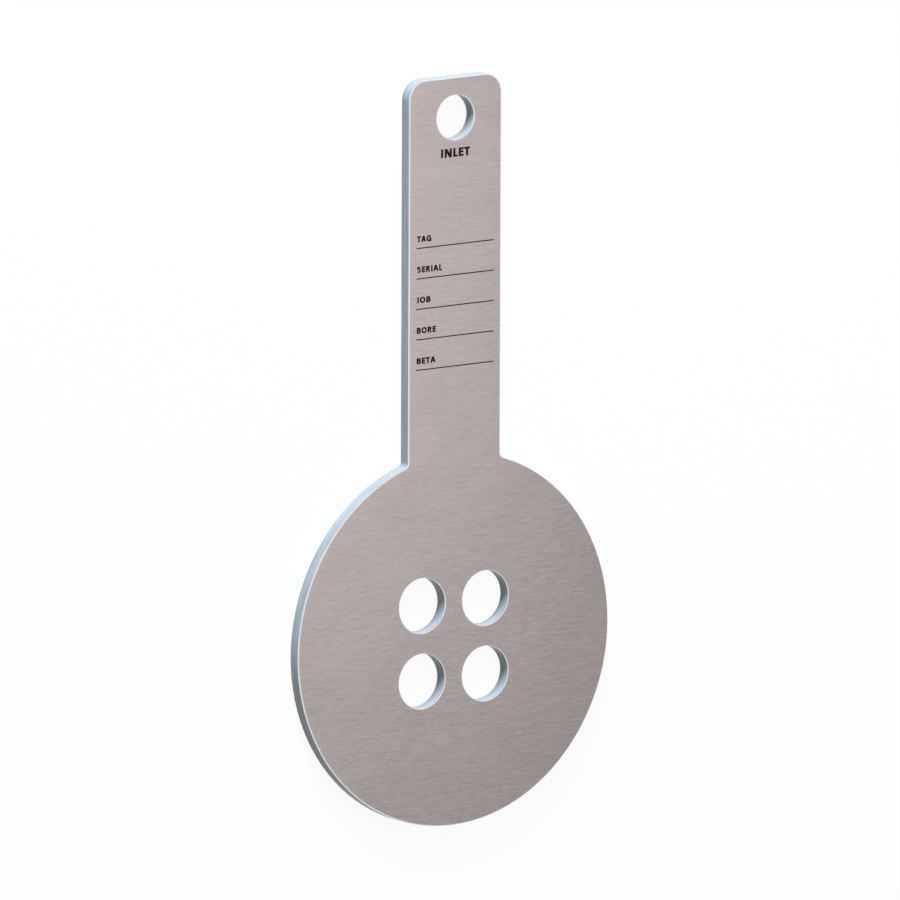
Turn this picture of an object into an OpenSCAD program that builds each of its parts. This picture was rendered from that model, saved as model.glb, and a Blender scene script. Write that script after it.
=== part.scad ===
// Paddle type orifice plate: a flat disc with four flow holes, made to be clamped
// between two pipe flanges, and a handle that stands out between the flange bolts.
// The plate lies on its outlet face. X runs across the handle, Y up the handle and
// Z out of the inlet face, from the centre of the disc. All sizes are in millimetres.

/* [Disc] */
// Diameter of the disc, which passes inside the flange bolts
disc_d = 104.8; // [80:0.1:180]
// Thickness of the plate
plate_t = 4; // [2:0.1:10]

/* [Flow holes] */
// Diameter of each of the four flow holes
bore_d = 15.5; // [6:0.1:24]
// Web of plate left between two neighbouring flow holes
bore_web = 5.8; // [2:0.1:16]
// Edge break of the flow holes on both faces
bore_break = 0.2; // [0.1:0.05:0.5]

/* [Handle] */
// Width of the handle
handle_w = 31; // [24:0.5:45]
// Length of the handle from the rim of the disc to its end
handle_l = 105.6; // [60:0.1:200]
// Radius of the two corners at the end of the handle
corner_r = 5.5; // [1:0.5:12]
// Radius of the two inside corners where the handle leaves the disc
neck_r = 1.5; // [0.5:0.1:12]

/* [Hanging hole] */
// Diameter of the hanging hole
hang_d = 12.5; // [6:0.5:20]
// Plate left between the hanging hole and the end of the handle
hang_margin = 5; // [2:0.25:20]

/* [Edges] */
// Edge break of the outline and the hanging hole on both faces
edge_break = 0.3; // [0.1:0.05:1]

/* [Hidden] */
$fn = 128;

// How far a cutter runs past the faces of the plate
overrun = 1;
// How far one part of the outline runs into the next, past its broken edges
lap = edge_break + overrun;

disc_r = disc_d / 2;
handle_top = disc_r + handle_l;
bore_pitch = bore_d + bore_web;
hang_y = handle_top - hang_margin - hang_d / 2;

// Centres of the corner arcs, which touch the sides and the end of the handle
corner_x = handle_w / 2 - corner_r;
corner_y = handle_top - corner_r;

// Centres of the neck arcs, which touch the sides of the handle and the rim of the disc
neck_x = handle_w / 2 + neck_r;
neck_y = sqrt((disc_r + neck_r) ^ 2 - neck_x ^ 2);

// Section of the plate from a middle line out to an edge that is broken on both faces
module edge_section(reach) {
    polygon([
        [0, 0],
        [reach - edge_break, 0],
        [reach, edge_break],
        [reach, plate_t - edge_break],
        [reach - edge_break, plate_t],
        [0, plate_t]
    ]);
}

// Round of plate with its edge broken
module round_plate(r) {
    rotate_extrude() edge_section(r);
}

// Straight edge of plate: it runs along X over a length and reaches out along Y
module straight_plate(length, reach) {
    translate([-length / 2, 0, 0])
        rotate([90, 0, 90])
            linear_extrude(length) edge_section(reach);
}

// Cutter for a round hole that flares at both faces to break the edges
module hole_cutter(r, edge) {
    flare = edge + overrun;
    rotate_extrude()
        polygon([
            [0, -overrun],
            [r + flare, -overrun],
            [r, edge],
            [r, plate_t - edge],
            [r + flare, plate_t + overrun],
            [0, plate_t + overrun]
        ]);
}

// Handle with two broken sides, a broken end and rounded corners
module handle() {
    for (side = [-1, 1]) {
        translate([0, corner_y / 2, 0])
            rotate(-90 * side) straight_plate(corner_y, handle_w / 2);
        translate([side * corner_x, corner_y, 0]) round_plate(corner_r);
    }
    translate([0, corner_y - lap, 0]) straight_plate(2 * corner_x, corner_r + lap);
}

// Inside corner on the right of the handle, hollowed to the neck radius
module neck() {
    rim_share = (disc_r - lap) / (disc_r + neck_r);
    side_x = handle_w / 2 - lap;
    difference() {
        linear_extrude(plate_t)
            polygon([
                [neck_x, neck_y],
                [side_x, neck_y],
                [side_x, neck_y * rim_share],
                [neck_x * rim_share, neck_y * rim_share]
            ]);
        translate([neck_x, neck_y, 0]) hole_cutter(neck_r, edge_break);
    }
}

// The four flow holes, in a square about the centre of the disc
module flow_holes() {
    for (x = [-1, 1], y = [-1, 1])
        translate([x * bore_pitch / 2, y * bore_pitch / 2, 0])
            hole_cutter(bore_d / 2, bore_break);
}

module orifice_plate() {
    color("#afa6a4")
        difference() {
            union() {
                round_plate(disc_r);
                handle();
                neck();
                mirror([1, 0, 0]) neck();
            }
            flow_holes();
            translate([0, hang_y, 0]) hole_cutter(hang_d / 2, edge_break);
        }
}

orifice_plate();
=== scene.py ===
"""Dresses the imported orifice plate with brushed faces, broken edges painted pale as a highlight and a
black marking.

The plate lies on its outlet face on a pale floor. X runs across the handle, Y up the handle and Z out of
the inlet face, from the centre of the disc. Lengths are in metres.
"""

import math

import bmesh
import bpy
from mathutils import Matrix, Vector
from mathutils.geometry import tessellate_polygon


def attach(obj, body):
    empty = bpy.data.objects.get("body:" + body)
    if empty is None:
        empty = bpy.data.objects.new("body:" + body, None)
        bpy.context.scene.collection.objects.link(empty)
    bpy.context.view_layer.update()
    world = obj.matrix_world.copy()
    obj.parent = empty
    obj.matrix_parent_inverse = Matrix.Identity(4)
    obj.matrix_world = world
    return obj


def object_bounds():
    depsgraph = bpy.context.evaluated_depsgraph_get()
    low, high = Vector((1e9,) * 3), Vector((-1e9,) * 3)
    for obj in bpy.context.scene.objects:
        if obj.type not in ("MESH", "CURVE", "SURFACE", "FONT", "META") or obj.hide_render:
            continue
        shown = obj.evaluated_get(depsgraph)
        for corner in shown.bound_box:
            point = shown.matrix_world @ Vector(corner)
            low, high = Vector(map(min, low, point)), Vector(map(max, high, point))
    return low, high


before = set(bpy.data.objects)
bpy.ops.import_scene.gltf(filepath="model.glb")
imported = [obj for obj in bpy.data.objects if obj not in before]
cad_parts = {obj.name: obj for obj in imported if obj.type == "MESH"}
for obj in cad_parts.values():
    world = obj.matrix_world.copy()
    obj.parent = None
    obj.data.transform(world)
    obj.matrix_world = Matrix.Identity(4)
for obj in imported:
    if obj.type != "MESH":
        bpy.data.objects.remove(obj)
cad_low, cad_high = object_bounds()

MM = 0.001
WHITE = (1.0, 1.0, 1.0)
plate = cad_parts["orifice_plate"]
face_z = cad_high.z
plate_middle = (cad_low + cad_high) / 2

# Camera: turned to the left about the handle, raised towards the end of the handle and slightly rolled
CAMERA_TURN = math.radians(35.04)
CAMERA_RISE = math.radians(10.42)
CAMERA_ROLL = math.radians(-0.20)
CAMERA_DISTANCE = 8.0
# Width of the picture at the plate, and how far its middle lies right of and above the disc's centre
PICTURE_WIDTH = 249.2 * MM
PICTURE_MIDDLE = (-1.05 * MM, 52.5 * MM)
SENSOR_WIDTH = 36.0

# Marking on the handle: the flow side under the hanging hole, and five ruled fields to fill in
INK_THICKNESS = 0.02 * MM
SIDE_WORD = "INLET"
SIDE_WIDTH = 9.75 * MM
SIDE_CAP = 2.45 * MM
SIDE_BASE = 135.7 * MM
# Width of each field's name, from the first field down
NAME_WIDTHS = {"TAG": 4.8 * MM, "SERIAL": 8.45 * MM, "JOB": 4.65 * MM, "BORE": 6.45 * MM, "BETA": 6.4 * MM}
NAME_CAP = 1.72 * MM
NAME_LEFT = -12.85 * MM
NAME_RISE = 1.67 * MM
RULE_LEFT = -13.05 * MM
RULE_RIGHT = 13.05 * MM
RULE_WIDTH = 0.30 * MM
RULE_STEP = 8.54 * MM
FIRST_RULE = 111.2 * MM
# Capitals, in cap heights: their stems, the middle of the waist, and a level stroke's share of the stem
SIDE_STEM = 0.275
NAME_STEM = 0.285
WAIST = 0.53
BAR_SHARE = 0.86

# Upright part of a normal: more than the first on a face, less than the second on a wall
FACE_UPRIGHT = 0.95
WALL_UPRIGHT = 0.3

# Steel: the faces and the cut walls vary between two tones, the walls' cool blue-grey cast being a painted
# reflection of cool light, and the broken edges have one pale colour that is a painted highlight
FACE_DARK = (0.348, 0.313, 0.308)
FACE_LIGHT = (0.611, 0.541, 0.521)
# The walls' cool blue-grey cast is a painted reflection of cool light; their two tones follow the cut
# grain
WALL_DARK = (0.284, 0.324, 0.334)
WALL_LIGHT = (0.390, 0.445, 0.458)
# The broken edges are real, but their pale colour is a painted highlight along them
EDGE_HIGHLIGHT_COLOUR = (0.86, 0.86, 0.86)
FACE_METALLIC = 0.88
WALL_METALLIC = 0.1
EDGE_METALLIC = 0.85
FACE_ROUGHNESS = (0.31, 0.41)
WALL_ROUGHNESS = (0.20, 0.30)
EDGE_ROUGHNESS = 0.35
STEEL_ANISOTROPY = 0.7
STEEL_SPECULAR = 0.1
BUMP_STRENGTH = 0.15
BUMP_DISTANCE = 0.05 * MM

# Grain: cells of noise for each metre along each axis
HAIR_CELLS = (620.0, 4600.0, 900.0)
STROKE_CELLS = (240.0, 2400.0, 400.0)
CLOUD_CELLS = (60.0, 120.0, 60.0)
CUT_CELLS = (90.0, 90.0, 2600.0)
INK_CELLS = (1500.0, 3000.0, 1500.0)
# Shares of the strokes in the brushing and of the clouds in the tone of the faces
STROKE_SHARE = 0.5
CLOUD_SHARE = 0.12
# Ranges of noise that go from one tone or roughness to the other
FACE_RANGE = (0.24, 0.76)
GRAIN_RANGE = (0.3, 0.7)

# Ink: matt and a little uneven between two tones
INK_DARK = (0.004, 0.003, 0.003)
INK_LIGHT = (0.012, 0.010, 0.010)
INK_ROUGHNESS = (0.5, 0.7)
INK_SPECULAR = 0.1

# Floor: its colour in the light that it throws back, and where it is seen, lifted most of the way to white
FLOOR_COLOUR = (0.50, 0.50, 0.50)
FLOOR_SEEN = (0.95, 0.95, 0.95)
FLOOR_LIFT = 0.93
FLOOR_ROUGHNESS = 0.9
FLOOR_SPECULAR = 0.0
FLOOR_SIZE = 40.0

# Light: a cool key from beyond the handle, which gloss doesn't show, and a lamp that the faces mirror
KEY_PLACE = (-0.49, 2.30, 0.70)
KEY_SIZE = (0.35, 0.9)
KEY_POWER = 126.0
KEY_COLOUR = (0.80, 0.85, 1.0)
FACE_LAMP_PLACE = (0.18, 0.06, 0.56)
FACE_LAMP_SIZE = (0.34, 0.42)
FACE_LAMP_POWER = 0.80

# World: dim, with a white backdrop near the horizon that stands higher on the left
WORLD_LIGHT = 0.24
# Height of a direction, as its Z, up to which the backdrop is white and from which it is dim
BACKDROP_WHITE = 0.32
BACKDROP_END = 0.54
# How much higher both are for a direction that points straight to the left
BACKDROP_LEFT_RISE = 0.6


class Nodes:
    """Short calls for building the node tree of a material or of the world."""

    def __init__(self, tree):
        self.tree = tree

    def add(self, kind, **settings):
        node = self.tree.nodes.new(kind)
        for name, value in settings.items():
            setattr(node, name, value)
        return node

    def feed(self, socket, value):
        """Links an output to a socket, or sets a number or a colour on it."""
        if isinstance(value, bpy.types.NodeSocket):
            self.tree.links.new(value, socket)
        elif socket.type == "RGBA":
            socket.default_value = (*value, 1.0)
        else:
            socket.default_value = value

    def math(self, operation, first, second=0.0):
        node = self.add("ShaderNodeMath", operation=operation)
        self.feed(node.inputs[0], first)
        self.feed(node.inputs[1], second)
        return node.outputs[0]

    def span(self, value, low, high, to_low=0.0, to_high=1.0):
        """Maps a range of values onto another range and holds it within that."""
        node = self.add("ShaderNodeMapRange")
        for socket, number in zip(node.inputs, (value, low, high, to_low, to_high)):
            self.feed(socket, number)
        return node.outputs[0]

    def blend(self, factor, first, second):
        """Goes from one number to another as the factor goes from 0 to 1."""
        node = self.add("ShaderNodeMix", data_type="FLOAT")
        numbers = node.inputs[2:4]
        for socket, value in zip((node.inputs[0], *numbers), (factor, first, second)):
            self.feed(socket, value)
        return node.outputs[0]

    def tint(self, factor, first, second):
        """Goes from one colour to another as the factor goes from 0 to 1."""
        node = self.add("ShaderNodeMix", data_type="RGBA")
        colours = node.inputs[6:8]
        for socket, value in zip((node.inputs[0], *colours), (factor, first, second)):
            self.feed(socket, value)
        return node.outputs[2]

    def noise(self, place, cells):
        """Noise with a number of cells for each metre along each axis."""
        mapping = self.add("ShaderNodeMapping")
        mapping.inputs["Scale"].default_value = cells
        self.feed(mapping.inputs["Vector"], place)
        texture = self.add("ShaderNodeTexNoise")
        texture.inputs["Scale"].default_value = 1.0
        self.feed(texture.inputs["Vector"], mapping.outputs["Vector"])
        return texture.outputs[0]

    def seen(self):
        """1 for the rays that show a background: from the camera, mirrored or let through."""
        path = self.add("ShaderNodeLightPath").outputs
        mirrored = self.math("MAXIMUM", path["Is Glossy Ray"], path["Is Transmission Ray"])
        return self.math("MAXIMUM", path["Is Camera Ray"], mirrored)


def new_material(name):
    """A material, its Principled shader and its nodes."""
    material = bpy.data.materials.new(name)
    material.use_nodes = True
    return material, material.node_tree.nodes["Principled BSDF"], Nodes(material.node_tree)


def surface_masks(nodes):
    """A mask of the faces and one of the walls. The broken edges are in neither."""
    turned = nodes.add("ShaderNodeVectorTransform", vector_type="NORMAL", convert_to="OBJECT")
    nodes.feed(turned.inputs[0], nodes.add("ShaderNodeNewGeometry").outputs["True Normal"])
    normal = nodes.add("ShaderNodeSeparateXYZ")
    nodes.feed(normal.inputs[0], turned.outputs[0])
    upright = nodes.math("ABSOLUTE", normal.outputs["Z"])
    on_face = nodes.math("GREATER_THAN", upright, FACE_UPRIGHT)
    on_wall = nodes.math("LESS_THAN", upright, WALL_UPRIGHT)
    return on_face, on_wall


def steel_material():
    """Faces brushed across the handle, cut walls with a cool cast that is a painted reflection, and broken
    edges between them painted pale as a highlight.
    """
    material, shader, nodes = new_material("brushed_plate_steel")
    place = nodes.add("ShaderNodeTexCoord").outputs["Object"]
    on_face, on_wall = surface_masks(nodes)

    def by_surface(mix, face, wall, edge):
        """Takes one value on the faces, one on the walls and one on the broken edges."""
        return mix(on_face, mix(on_wall, edge, wall), face)

    brushing = nodes.blend(STROKE_SHARE, nodes.noise(place, HAIR_CELLS), nodes.noise(place, STROKE_CELLS))
    clouded = nodes.blend(CLOUD_SHARE, brushing, nodes.noise(place, CLOUD_CELLS))
    cuts = nodes.noise(place, CUT_CELLS)

    face = nodes.tint(nodes.span(clouded, *FACE_RANGE), FACE_DARK, FACE_LIGHT)
    wall = nodes.tint(nodes.span(cuts, *GRAIN_RANGE), WALL_DARK, WALL_LIGHT)
    # The edges' pale colour is a painted highlight, and the walls' cool cast is a painted reflection
    nodes.feed(shader.inputs["Base Color"], by_surface(nodes.tint, face, wall, EDGE_HIGHLIGHT_COLOUR))

    rough_face = nodes.span(brushing, *GRAIN_RANGE, *FACE_ROUGHNESS)
    rough_wall = nodes.span(cuts, *GRAIN_RANGE, *WALL_ROUGHNESS)
    nodes.feed(shader.inputs["Roughness"], by_surface(nodes.blend, rough_face, rough_wall, EDGE_ROUGHNESS))

    metallic = by_surface(nodes.blend, FACE_METALLIC, WALL_METALLIC, EDGE_METALLIC)
    nodes.feed(shader.inputs["Metallic"], metallic)

    bump = nodes.add("ShaderNodeBump")
    bump.inputs["Strength"].default_value = BUMP_STRENGTH
    bump.inputs["Distance"].default_value = BUMP_DISTANCE
    nodes.feed(bump.inputs["Height"], by_surface(nodes.blend, brushing, cuts, 0.0))
    nodes.feed(shader.inputs["Normal"], bump.outputs["Normal"])

    # Gloss spreads across the brushing: along Y on the faces and up and down elsewhere
    spread = nodes.add("ShaderNodeCombineXYZ")
    nodes.feed(spread.inputs["Y"], on_face)
    nodes.feed(spread.inputs["Z"], nodes.math("SUBTRACT", 1.0, on_face))
    nodes.feed(shader.inputs["Tangent"], spread.outputs[0])
    shader.inputs["Anisotropic"].default_value = STEEL_ANISOTROPY
    shader.inputs["Specular IOR Level"].default_value = STEEL_SPECULAR
    return material


def ink_material():
    """Thin matt black marking, a little uneven."""
    material, shader, nodes = new_material("marking_black")
    place = nodes.add("ShaderNodeTexCoord").outputs["Object"]
    patches = nodes.span(nodes.noise(place, INK_CELLS), *GRAIN_RANGE)
    nodes.feed(shader.inputs["Base Color"], nodes.tint(patches, INK_DARK, INK_LIGHT))
    nodes.feed(shader.inputs["Roughness"], nodes.blend(patches, *INK_ROUGHNESS))
    shader.inputs["Specular IOR Level"].default_value = INK_SPECULAR
    return material


def floor_material():
    """A matt floor, paler and lifted towards white where it is seen, so its shadow is faint."""
    material, shader, nodes = new_material("pale_floor")
    seen = nodes.seen()
    nodes.feed(shader.inputs["Base Color"], nodes.tint(seen, FLOOR_COLOUR, FLOOR_SEEN))
    shader.inputs["Roughness"].default_value = FLOOR_ROUGHNESS
    shader.inputs["Specular IOR Level"].default_value = FLOOR_SPECULAR
    white = nodes.add("ShaderNodeEmission")
    lifted = nodes.add("ShaderNodeMixShader")
    nodes.feed(lifted.inputs[0], nodes.math("MULTIPLY", seen, FLOOR_LIFT))
    nodes.feed(lifted.inputs[1], shader.outputs[0])
    nodes.feed(lifted.inputs[2], white.outputs[0])
    nodes.feed(material.node_tree.nodes["Material Output"].inputs["Surface"], lifted.outputs[0])
    return material


def arc(centre, radii, start, end, steps=12):
    """Points along part of an ellipse, from one angle to another in degrees."""
    angles = [math.radians(start + (end - start) * step / steps) for step in range(steps + 1)]
    return [(centre[0] + radii[0] * math.cos(a), centre[1] + radii[1] * math.sin(a)) for a in angles]


def ring(centre, radii, points=24):
    """Points round a whole ellipse."""
    return arc(centre, radii, start=0, end=360 - 360 / points, steps=points - 1)


def ribbon(path, width):
    """Outline of a stroke along a path, with mitred corners and square ends."""
    points = [Vector(point) for point in path]
    normals = [(after - before).orthogonal().normalized() for before, after in zip(points, points[1:])]
    sides = ([], [])
    for point, before, after in zip(points, normals[:1] + normals, normals + normals[-1:]):
        mitre = (before + after) * (width / 2) / (1 + before.dot(after))
        sides[0].append(tuple(point + mitre))
        sides[1].append(tuple(point - mitre))
    return sides[0] + sides[1][::-1]


def bowl(left, right, low, high, start=-90, end=90):
    """Right half of a round letter between two heights, from the bottom up."""
    straight = (left + right) / 2
    middle = (low + high) / 2
    return arc((straight, middle), (right - straight, middle - low), start, end)


def bowl_angle(height, low, high):
    """The angle at which a bowl between two heights reaches a third one."""
    return math.degrees(math.asin((2 * height - low - high) / (high - low)))


def counter(left, right, low, high):
    """The hole inside a bowl, with its straight side on the left."""
    return [(left, low)] + bowl(left, right, low, high) + [(left, high)]


# Capitals with a cap height of 1, from their stem and level bar: an outer outline and then any holes


def capital_a(stem, bar):
    """Two legs that lean together and a low crossbar."""
    width = 1.0
    foot = 1.05 * stem
    lean = width / 2 - 0.6 * stem
    bar_low = 0.22
    bar_high = bar_low + bar
    inside_low = foot + bar_low * lean
    inside_high = foot + bar_high * lean
    peak = (width / 2 - foot) / lean
    outer = [(0, 0), (foot, 0), (inside_low, bar_low), (width - inside_low, bar_low), (width - foot, 0),
             (width, 0), (width - lean, 1), (lean, 1)]
    hole = [(inside_high, bar_high), (width - inside_high, bar_high), (width / 2, peak)]
    return [outer, hole]


def capital_b(stem, bar):
    """Two bowls on a stem, which meet at the waist."""
    lower_width = 0.80
    upper_width = 0.74
    below = WAIST - bar / 2
    above = WAIST + bar / 2
    lower_bowl = bowl(0, lower_width, 0, above, end=bowl_angle(WAIST, 0, above))
    upper_bowl = bowl(0, upper_width, below, 1, start=bowl_angle(WAIST, below, 1))
    lower_hole = counter(stem, lower_width - stem, bar, below)
    upper_hole = counter(stem, upper_width - stem, above, 1 - bar)
    return [[(0, 0)] + lower_bowl + upper_bowl + [(0, 1)], lower_hole, upper_hole]


def capital_e(stem, bar):
    """A stem with three arms, the middle one the shortest."""
    foot = 0.64
    middle = 0.60
    top = 0.63
    below = WAIST - bar / 2
    above = WAIST + bar / 2
    return [[(0, 0), (foot, 0), (foot, bar), (stem, bar), (stem, below), (middle, below),
             (middle, above), (stem, above), (stem, 1 - bar), (top, 1 - bar), (top, 1), (0, 1)]]


def capital_g(stem, bar):
    """An open round, whose lower end turns up into a spur and back into a tongue."""
    radius = 0.54
    spur = 0.95 - stem / 2
    spur_low = 0.16
    tongue = 0.58
    tongue_height = 0.47
    sweep = arc((radius, 0.5), (radius - stem / 2, 0.5 - bar / 2), start=48, end=300, steps=20)
    return [ribbon(sweep + [(spur, spur_low), (spur, tongue_height), (tongue, tongue_height)], stem)]


def capital_i(stem, bar):
    """A plain stem."""
    return [[(0, 0), (stem, 0), (stem, 1), (0, 1)]]


def capital_j(stem, bar):
    """A stem that ends in a hook to the left."""
    hook_middle = 0.12
    hook_radius = 0.28
    radii = (hook_radius - stem / 2, hook_radius - bar / 2)
    hook = arc((hook_middle, hook_radius), radii, start=0, end=-110)
    return [ribbon([(hook_middle + radii[0], 1)] + hook, stem)]


def capital_l(stem, bar):
    """A stem with an arm at its foot."""
    width = 0.57
    return [[(0, 0), (width, 0), (width, bar), (stem, bar), (stem, 1), (0, 1)]]


def capital_n(stem, bar):
    """Two stems and a slanting stroke between them."""
    width = 0.92
    foot = 1.2 * stem
    slope = stem / (width - foot)
    return [[(0, 0), (stem, 0), (stem, 1 - slope), (width - foot, 0), (width, 0), (width, 1),
             (width - stem, 1), (width - stem, slope), (foot, 1), (0, 1)]]


def capital_o(stem, bar):
    """A closed round, a little taller than the other capitals."""
    half_width = 0.51
    half_height = 0.515
    middle = (half_width, 0.5)
    return [ring(middle, (half_width, half_height)), ring(middle, (half_width - stem, half_height - bar))]


def capital_r(stem, bar):
    """A bowl on a stem, and a leg that slants out from under it."""
    width = 0.84
    bowl_width = 0.73
    bowl_low = 0.42
    leg_left = 0.34
    leg_foot = width - 1.2 * stem
    feet = [(0, 0), (stem, 0), (stem, bowl_low), (leg_left, bowl_low), (leg_foot, 0), (width, 0)]
    outer = feet + bowl(0, bowl_width, bowl_low, 1, start=-58) + [(0, 1)]
    return [outer, counter(stem, bowl_width - stem, bowl_low + bar, 1 - bar)]


def capital_s(stem, bar):
    """Two open rounds in one stroke, the upper one a little smaller."""
    middle = 0.33
    upper_radius = 0.24
    lower_radius = 0.26
    upper_reach = 0.25
    lower_reach = 0.27
    upper_radii = (upper_reach, upper_radius - bar / 2)
    lower_radii = (lower_reach, lower_radius - bar / 4)
    upper = arc((middle, 1 - upper_radius), upper_radii, start=35, end=270)
    lower = arc((middle, lower_radius + bar / 4), lower_radii, start=90, end=-145)
    return [ribbon(upper + lower[1:], bar)]


def capital_t(stem, bar):
    """A stem under the middle of an arm."""
    width = 0.74
    left = (width - stem) / 2
    right = (width + stem) / 2
    return [[(left, 0), (right, 0), (right, 1 - bar), (width, 1 - bar), (width, 1), (0, 1), (0, 1 - bar),
             (left, 1 - bar)]]


# Room left and right of each capital, in cap heights, and the function that draws it
CAPITALS = {
    "A": (0.02, 0.02, capital_a),
    "B": (0.10, 0.05, capital_b),
    "E": (0.10, 0.05, capital_e),
    "G": (0.05, 0.10, capital_g),
    "I": (0.10, 0.10, capital_i),
    "J": (0.03, 0.10, capital_j),
    "L": (0.10, 0.04, capital_l),
    "N": (0.10, 0.10, capital_n),
    "O": (0.06, 0.06, capital_o),
    "R": (0.10, 0.03, capital_r),
    "S": (0.06, 0.06, capital_s),
    "T": (0.03, 0.03, capital_t),
}


def add_print(form, loops):
    """Adds a thin flat solid on the inlet face from an outer outline and any holes in it."""
    points = [point for loop in loops for point in loop]
    lower = [form.verts.new((*point, face_z)) for point in points]
    upper = [form.verts.new((*point, face_z + INK_THICKNESS)) for point in points]
    for triangle in tessellate_polygon([[Vector((*point, 0.0)) for point in loop] for loop in loops]):
        form.faces.new([lower[index] for index in triangle])
        form.faces.new([upper[index] for index in reversed(triangle)])
    first = 0
    for loop in loops:
        for step in range(len(loop)):
            here = first + step
            ahead = first + (step + 1) % len(loop)
            form.faces.new((lower[here], lower[ahead], upper[ahead], upper[here]))
        first += len(loop)


def finish_print(name, form, material):
    """Turns a form into a piece of the marking, which rides on the plate."""
    bmesh.ops.recalc_face_normals(form, faces=form.faces)
    mesh = bpy.data.meshes.new(name)
    form.to_mesh(mesh)
    form.free()
    mesh.materials.append(material)
    piece = bpy.data.objects.new(name, mesh)
    bpy.context.scene.collection.objects.link(piece)
    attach(piece, "root")


def add_word(text, left, base, width, cap, stem, material):
    """A word in capitals, fitted between its left end and its width."""
    placed = []
    reach = 0.0
    for letter in text:
        room_left, room_right, draw = CAPITALS[letter]
        loops = draw(stem, BAR_SHARE * stem)
        start = min(x for x, y in loops[0])
        reach += room_left if placed else 0.0
        placed.append([[(x - start + reach, y) for x, y in loop] for loop in loops])
        end = reach + max(x for x, y in loops[0]) - start
        reach = end + room_right
    form = bmesh.new()
    for loops in placed:
        add_print(form, [[(left + x * width / end, base + y * cap) for x, y in loop] for loop in loops])
    finish_print("word_" + text.lower(), form, material)


def add_rule(text, height, material):
    """The ruled line of a field, with round ends."""
    radius = RULE_WIDTH / 2
    right_end = arc((RULE_RIGHT - radius, height), (radius, radius), start=-90, end=90)
    left_end = arc((RULE_LEFT + radius, height), (radius, radius), start=90, end=270)
    form = bmesh.new()
    add_print(form, [right_end + left_end])
    finish_print("rule_" + text.lower(), form, material)


def add_marking():
    """The flow side and the ruled fields on the handle."""
    ink = ink_material()
    add_word(SIDE_WORD, -SIDE_WIDTH / 2, SIDE_BASE, SIDE_WIDTH, SIDE_CAP, SIDE_STEM, ink)
    for number, (text, width) in enumerate(NAME_WIDTHS.items()):
        height = FIRST_RULE - number * RULE_STEP
        add_word(text, NAME_LEFT, height + NAME_RISE, width, NAME_CAP, NAME_STEM, ink)
        add_rule(text, height, ink)


def add_floor():
    """A pale floor under the outlet face."""
    form = bmesh.new()
    bmesh.ops.create_grid(form, x_segments=1, y_segments=1, size=FLOOR_SIZE / 2)
    mesh = bpy.data.meshes.new("floor")
    form.to_mesh(mesh)
    form.free()
    mesh.materials.append(floor_material())
    floor = bpy.data.objects.new("floor", mesh)
    bpy.context.scene.collection.objects.link(floor)
    floor.location.z = cad_low.z


def add_camera():
    """A far camera, whose right, up and back are the rows of its turn from the plate's own axes."""
    turn = (
        Matrix.Rotation(CAMERA_ROLL, 3, "Z")
        @ Matrix.Rotation(CAMERA_RISE, 3, "X")
        @ Matrix.Rotation(CAMERA_TURN, 3, "Y")
    )
    to_world = turn.transposed()
    data = bpy.data.cameras.new("camera")
    data.sensor_width = SENSOR_WIDTH
    data.lens = SENSOR_WIDTH * CAMERA_DISTANCE / PICTURE_WIDTH
    camera = bpy.data.objects.new("camera", data)
    bpy.context.scene.collection.objects.link(camera)
    place = Vector((0.0, 0.0, face_z)) + to_world @ Vector((*PICTURE_MIDDLE, CAMERA_DISTANCE))
    camera.matrix_world = Matrix.Translation(place) @ to_world.to_4x4()
    bpy.context.scene.camera = camera


def add_softbox(name, place, size, power, colour, mirrored):
    """A rectangular lamp that faces the middle of the plate, and is mirrored in its gloss or isn't."""
    data = bpy.data.lights.new(name, "AREA")
    data.shape = "RECTANGLE"
    data.size, data.size_y = size
    data.energy = power
    data.color = colour
    lamp = bpy.data.objects.new(name, data)
    bpy.context.scene.collection.objects.link(lamp)
    lamp.location = place
    lamp.rotation_euler = (plate_middle - lamp.location).to_track_quat("-Z", "Y").to_euler()
    lamp.visible_glossy = mirrored


def add_world():
    """Dim even studio light, with a white backdrop near the horizon where it is seen or mirrored."""
    world = bpy.data.worlds.new("studio")
    bpy.context.scene.world = world
    world.use_nodes = True
    background = world.node_tree.nodes["Background"]
    nodes = Nodes(world.node_tree)
    direction = nodes.add("ShaderNodeSeparateXYZ")
    nodes.feed(direction.inputs[0], nodes.add("ShaderNodeTexCoord").outputs["Generated"])
    left = nodes.math("MINIMUM", direction.outputs["X"], 0.0)
    height = nodes.math("ADD", direction.outputs["Z"], nodes.math("MULTIPLY", left, BACKDROP_LEFT_RISE))
    backdrop = nodes.span(height, BACKDROP_WHITE, BACKDROP_END, 1.0, 0.0)
    shown = nodes.math("MULTIPLY", nodes.seen(), backdrop)
    nodes.feed(background.inputs["Color"], WHITE)
    nodes.feed(background.inputs["Strength"], nodes.blend(shown, WORLD_LIGHT, 1.0))


plate.material_slots[0].material = steel_material()
add_marking()
add_floor()
add_camera()
add_world()
add_softbox("key", KEY_PLACE, KEY_SIZE, KEY_POWER, KEY_COLOUR, mirrored=False)
add_softbox("face_light", FACE_LAMP_PLACE, FACE_LAMP_SIZE, FACE_LAMP_POWER, WHITE, mirrored=True)
bpy.context.scene.view_settings.view_transform = "Standard"
